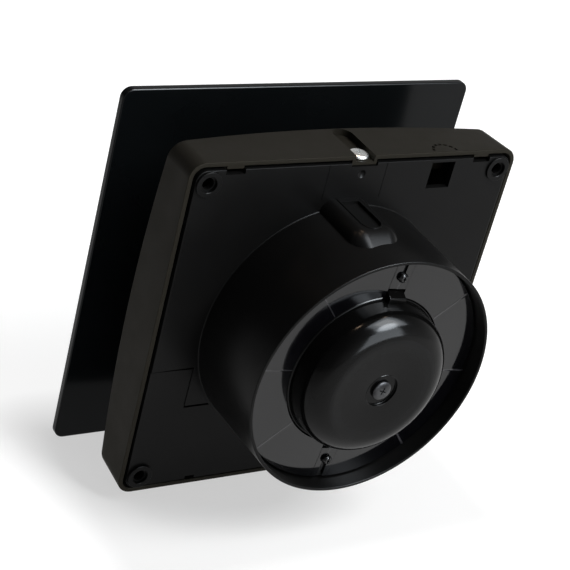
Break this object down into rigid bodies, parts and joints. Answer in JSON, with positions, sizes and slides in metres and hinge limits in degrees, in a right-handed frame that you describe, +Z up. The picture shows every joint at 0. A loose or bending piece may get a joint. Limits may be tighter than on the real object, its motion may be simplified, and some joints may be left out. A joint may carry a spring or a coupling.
{
  "type": "bathroom extractor fan",
  "caption": "Square wall-mounted bathroom extractor fan with a flat stand-off front panel, a domed cover, an axial impeller and a round duct spigot with a backdraught shutter.",
  "frame": {"origin": "where the axis of the duct spigot meets the wall face, level with the tops of the fixing bosses", "axes": "+Y along the duct axis into the wall, +Z up, +X to the left of somebody who faces the wall from the duct side looking at the back of the fan, with the top up"},
  "size_m": [0.15, 0.0923, 0.15],
  "materials": {
    "panel": "polished black acrylic sheet",
    "casing": "fine satin black moulded plastic",
    "pod": "black moulded plastic with a soft gloss",
    "impeller": "satin black moulded plastic",
    "film": "smooth glossy dark film",
    "zinc": "bright zinc plate",
    "steel": "dull zinc-plated steel",
    "laminations": "stacked electrical steel",
    "copper": "varnished copper wire",
    "terminal": "off-white moulded nylon",
    "live_lead": "brown insulation",
    "neutral_lead": "blue insulation"
  },
  "bodies": {
    "housing": {"front_panel": "panel", "front_cover": "casing", "back_plate": "casing", "cable_clamp": "casing", "motor_carrier": "pod", "motor_cap": "pod", "shutter_pin_top": "pod", "shutter_pin_bottom": "pod", "shutter_strip_top": "film", "shutter_strip_bottom": "film", "cover_screw": "zinc", "cap_screw": "steel", "stator_core": "laminations", "front_bearing": "steel", "rear_bearing": "steel", "rear_bracket": "steel", "tie_screw_1": "steel", "tie_screw_2": "steel", "clamp_screw_1": "steel", "clamp_screw_2": "steel", "terminal_block": "terminal", "lead_live": "live_lead", "lead_neutral": "neutral_lead", "panel_stud_1": "casing", "coil_1": "copper", "panel_stud_2": "casing", "coil_2": "copper", "panel_stud_3": "casing", "coil_3": "copper", "panel_stud_4": "casing", "coil_4": "copper", "terminal_screw_1": "steel", "terminal_screw_2": "steel", "terminal_screw_3": "steel"},
    "rotating": {"impeller": "impeller", "impeller_clip": "impeller", "shaft": "steel", "rotor": "laminations"},
    "flap_left": {"shutter_flap_left": "film"},
    "flap_right": {"shutter_flap_right": "film"}
  },
  "joints": [
    {"name": "impeller_spin", "type": "hinge", "parent": "housing", "child": "rotating", "pos_m": [0, 0, 0], "axis": [0, 1, 0], "continuous": true},
    {"name": "flap_left_hinge", "type": "hinge", "parent": "housing", "child": "flap_left", "pos_m": [0.00397, 0.0309, 0.00049], "axis": [-0.1219, 0, 0.9925], "range_deg": [0, 75], "stiffness_Nm_per_rad": 0.0005},
    {"name": "flap_right_hinge", "type": "hinge", "parent": "housing", "child": "flap_right", "pos_m": [-0.00397, 0.0309, -0.00049], "axis": [0.1219, 0, -0.9925], "range_deg": [0, 75], "stiffness_Nm_per_rad": 0.0005}
  ]
}
